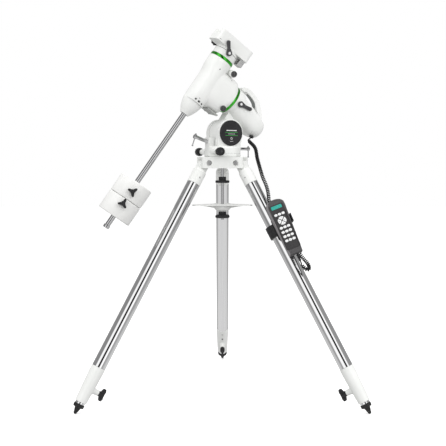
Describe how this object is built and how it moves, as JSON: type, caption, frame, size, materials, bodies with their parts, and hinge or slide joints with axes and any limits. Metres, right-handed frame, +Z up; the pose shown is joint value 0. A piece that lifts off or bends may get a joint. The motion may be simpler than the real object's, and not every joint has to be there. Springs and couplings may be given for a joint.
{
  "type": "equatorial mount",
  "caption": "German equatorial telescope mount: tilting polar head with saddle and sliding counterweights, hand control and cord, on a folding, extending tube tripod.",
  "frame": {"origin": "on the floor under the middle of the object's box, measured without the hand control's cord", "axes": "+Z up, -X north (the polar axis points to -X and up), +Y east"},
  "size_m": [0.8234, 0.9452, 1.2427],
  "materials": {
    "white_casting": "satin",
    "white_weight": "satin",
    "polished_tube": "polished",
    "hidden_steel": "satin",
    "chrome_bar": "polished",
    "green_ring": "polished",
    "grey_metal": "satin",
    "bolt_steel": "satin",
    "black_plastic": "satin",
    "lever_grey": "satin",
    "handset_grey": "satin",
    "key_rubber": "matte",
    "foot_black": "matte",
    "cord_black": "satin"
  },
  "bodies": {
    "tripod": {"tripod_head": "white_casting", "hinge_bolt_north": "bolt_steel", "hinge_bolt_southeast": "bolt_steel", "hinge_bolt_southwest": "bolt_steel"},
    "lock_screw": {"lock_shaft": "black_plastic"},
    "spreader": {"spreader_tray": "white_casting"},
    "spreader_nut": {"spreader_nut": "black_plastic"},
    "azimuth_yoke": {"mount_base": "white_casting", "altitude_pivot_east": "black_plastic", "altitude_pivot_west": "black_plastic"},
    "azimuth_screw_east": {"azimuth_knob_east": "black_plastic"},
    "azimuth_screw_west": {"azimuth_knob_west": "black_plastic"},
    "altitude_screw_north": {"altitude_bolt_north": "bolt_steel"},
    "altitude_screw_south": {"altitude_bolt_south": "bolt_steel"},
    "polar_unit": {"ra_housing": "white_casting", "carry_handle": "white_casting", "ra_ring": "green_ring"},
    "ra_clutch": {"ra_clutch_lever": "lever_grey"},
    "dec_unit": {"ra_shaft": "hidden_steel", "dec_housing": "white_casting", "dec_access_plate": "grey_metal", "dec_nose": "white_casting", "dec_ring": "green_ring", "dome_cap_upper": "black_plastic", "dome_cap_lower": "black_plastic", "counterweight_bar": "chrome_bar", "bar_end_stop": "chrome_bar"},
    "saddle_unit": {"dec_shaft": "hidden_steel", "saddle": "white_casting"},
    "dec_clutch": {"dec_clutch_lever": "lever_grey"},
    "saddle_jaw": {"saddle_jaw": "white_casting"},
    "saddle_screw_front": {"saddle_knob_front": "black_plastic"},
    "saddle_screw_rear": {"saddle_knob_rear": "black_plastic"},
    "upper_weight": {"counterweight_upper": "white_weight"},
    "lower_weight": {"counterweight_lower": "white_weight"},
    "upper_weight_screw": {"weight_knob_upper": "black_plastic"},
    "lower_weight_screw": {"weight_knob_lower": "black_plastic"},
    "keypad": {"keypad": "key_rubber"},
    "leg_north": {"leg_socket_north": "white_casting", "outer_tube_north": "polished_tube", "leg_clamp_north": "white_casting"},
    "extension_north": {"extension_tube_north": "polished_tube", "foot_north": "foot_black"},
    "clamp_screw_north": {"clamp_knob_north": "black_plastic"},
    "leg_southeast": {"leg_socket_southeast": "white_casting", "outer_tube_southeast": "polished_tube", "leg_clamp_southeast": "white_casting"},
    "extension_southeast": {"extension_tube_southeast": "polished_tube", "foot_southeast": "foot_black"},
    "clamp_screw_southeast": {"clamp_knob_southeast": "black_plastic"},
    "leg_southwest": {"leg_socket_southwest": "white_casting", "outer_tube_southwest": "polished_tube", "leg_clamp_southwest": "white_casting", "handset_bracket": "black_plastic", "handset_case": "handset_grey", "handset_plug": "handset_grey", "handset_cord": "cord_black"},
    "extension_southwest": {"extension_tube_southwest": "polished_tube", "foot_southwest": "foot_black"},
    "clamp_screw_southwest": {"clamp_knob_southwest": "black_plastic"}
  },
  "joints": [
    {"name": "leg_fold_north", "type": "hinge", "parent": "tripod", "child": "leg_north", "pos_m": [0.0601, 0, 0.7914], "axis": [0, -1, 0], "range_deg": [0, 27], "deforming": ["handset_cord"]},
    {"name": "extension_slide_north", "type": "slide", "parent": "leg_north", "child": "extension_north", "axis": [-0.5096, 0, -0.8604], "range_m": [0, 0.4]},
    {"name": "clamp_turn_north", "type": "hinge", "parent": "leg_north", "child": "clamp_screw_north", "pos_m": [-0.3629, 0, 0.07728], "axis": [0.8604, 0, -0.5096], "continuous": true},
    {"name": "leg_fold_southeast", "type": "hinge", "parent": "tripod", "child": "leg_southeast", "pos_m": [0.1669, 0.06166, 0.7914], "axis": [-0.866, 0.5, 0], "range_deg": [0, 27]},
    {"name": "extension_slide_southeast", "type": "slide", "parent": "leg_southeast", "child": "extension_southeast", "axis": [0.2548, 0.4414, -0.8604], "range_m": [0, 0.4]},
    {"name": "clamp_turn_southeast", "type": "hinge", "parent": "leg_southeast", "child": "clamp_screw_southeast", "pos_m": [0.3784, 0.42799, 0.07728], "axis": [-0.4302, -0.7451, -0.5096], "continuous": true},
    {"name": "leg_fold_southwest", "type": "hinge", "parent": "tripod", "child": "leg_southwest", "pos_m": [0.1669, -0.06166, 0.7914], "axis": [0.866, 0.5, 0], "range_deg": [0, 27], "deforming": ["handset_cord"]},
    {"name": "extension_slide_southwest", "type": "slide", "parent": "leg_southwest", "child": "extension_southwest", "axis": [0.2548, -0.4414, -0.8604], "range_m": [0, 0.4]},
    {"name": "clamp_turn_southwest", "type": "hinge", "parent": "leg_southwest", "child": "clamp_screw_southwest", "pos_m": [0.3784, -0.42799, 0.07728], "axis": [-0.4302, 0.7451, -0.5096], "continuous": true},
    {"name": "lock_turn", "type": "hinge", "parent": "tripod", "child": "lock_screw", "pos_m": [0.1313, 0, 0.728], "axis": [0, 0, 1], "continuous": true},
    {"name": "spreader_turn", "type": "hinge", "parent": "tripod", "child": "spreader", "pos_m": [0.1313, 0, 0.65], "axis": [0, 0, 1], "range_deg": [0, 61]},
    {"name": "spreader_nut_turn", "type": "hinge", "parent": "tripod", "child": "spreader_nut", "pos_m": [0.1313, 0, 0.615], "axis": [0, 0, 1], "continuous": true},
    {"name": "azimuth_turn", "type": "hinge", "parent": "tripod", "child": "azimuth_yoke", "pos_m": [0.1313, 0, 0.812], "axis": [0, 0, 1], "range_deg": [-5, 5], "deforming": ["handset_cord"]},
    {"name": "azimuth_screw_travel_east", "type": "slide", "parent": "azimuth_yoke", "child": "azimuth_screw_east", "axis": [0, 1, 0], "range_m": [-0.0046, 0.0046]},
    {"name": "azimuth_screw_travel_west", "type": "slide", "parent": "azimuth_yoke", "child": "azimuth_screw_west", "axis": [0, 1, 0], "range_m": [-0.0046, 0.0046]},
    {"name": "altitude_tilt", "type": "hinge", "parent": "azimuth_yoke", "child": "polar_unit", "pos_m": [0.1393, 0, 0.892], "axis": [0, 1, 0], "range_deg": [-7, 16], "deforming": ["handset_cord"]},
    {"name": "altitude_screw_travel_north", "type": "slide", "parent": "azimuth_yoke", "child": "altitude_screw_north", "axis": [-0.9455, 0, 0.3256], "range_m": [-0.006, 0.015]},
    {"name": "altitude_screw_travel_south", "type": "slide", "parent": "azimuth_yoke", "child": "altitude_screw_south", "axis": [1, 0, 0], "range_m": [-0.0165, 0.0065]},
    {"name": "ra_turn", "type": "hinge", "parent": "polar_unit", "child": "dec_unit", "pos_m": [0.0701, 0, 1.065], "axis": [-0.8329, 0, 0.5534], "range_deg": [-114, 135]},
    {"name": "ra_clutch_turn", "type": "hinge", "parent": "polar_unit", "child": "ra_clutch", "pos_m": [0.17145, -0.0505, 0.98806], "axis": [0, -1, 0], "range_deg": [0, 50]},
    {"name": "dec_turn", "type": "hinge", "parent": "dec_unit", "child": "saddle_unit", "pos_m": [0.0701, 0, 1.065], "axis": [0.5445, -0.1788, 0.8195], "continuous": true},
    {"name": "dec_clutch_turn", "type": "hinge", "parent": "saddle_unit", "child": "dec_clutch", "pos_m": [0.11966, -0.06176, 1.15405], "axis": [-0.0989, -0.9839, -0.1489], "range_deg": [0, 50]},
    {"name": "saddle_jaw_travel", "type": "slide", "parent": "saddle_unit", "child": "saddle_jaw", "axis": [-0.0989, -0.9839, -0.1489], "range_m": [0, 0.008]},
    {"name": "saddle_screw_turn_front", "type": "hinge", "parent": "saddle_unit", "child": "saddle_screw_front", "pos_m": [0.12241, 0.02434, 1.20517], "axis": [0.0989, 0.9839, 0.1489], "continuous": true},
    {"name": "saddle_screw_turn_rear", "type": "hinge", "parent": "saddle_unit", "child": "saddle_screw_rear", "pos_m": [0.17905, 0.02434, 1.16754], "axis": [0.0989, 0.9839, 0.1489], "continuous": true},
    {"name": "upper_weight_slide", "type": "slide", "parent": "dec_unit", "child": "upper_weight", "axis": [0.5445, -0.1788, 0.8195], "range_m": [0, 0.25]},
    {"name": "lower_weight_slide", "type": "slide", "parent": "dec_unit", "child": "lower_weight", "axis": [0.5445, -0.1788, 0.8195], "range_m": [-0.03, 0]},
    {"name": "upper_weight_screw_turn", "type": "hinge", "parent": "upper_weight", "child": "upper_weight_screw", "pos_m": [-0.19331, 0.02336, 0.69843], "axis": [-0.3247, -0.9458, 0.0094], "continuous": true},
    {"name": "lower_weight_screw_turn", "type": "hinge", "parent": "lower_weight", "child": "lower_weight_screw", "pos_m": [-0.22239, 0.03305, 0.66007], "axis": [-0.3647, -0.9303, 0.0394], "continuous": true},
    {"name": "keypad_press", "type": "slide", "parent": "leg_southwest", "child": "keypad", "axis": [-0.4627, -0.837, 0.2923], "range_m": [-0.0012, 0], "stiffness_N_per_m": 900}
  ],
  "couplings": [
    {"joint": "leg_fold_southeast", "follows": "leg_fold_north", "ratio": 1},
    {"joint": "leg_fold_southwest", "follows": "leg_fold_north", "ratio": 1},
    {"joint": "spreader_turn", "follows": "leg_fold_north", "ratio": 2.2222},
    {"joint": "azimuth_screw_travel_east", "follows": "azimuth_turn", "m_per_rad": 0.05},
    {"joint": "azimuth_screw_travel_west", "follows": "azimuth_turn", "m_per_rad": 0.05},
    {"joint": "altitude_screw_travel_north", "follows": "altitude_tilt", "m_per_rad": 0.046},
    {"joint": "altitude_screw_travel_south", "follows": "altitude_tilt", "m_per_rad": -0.05}
  ]
}
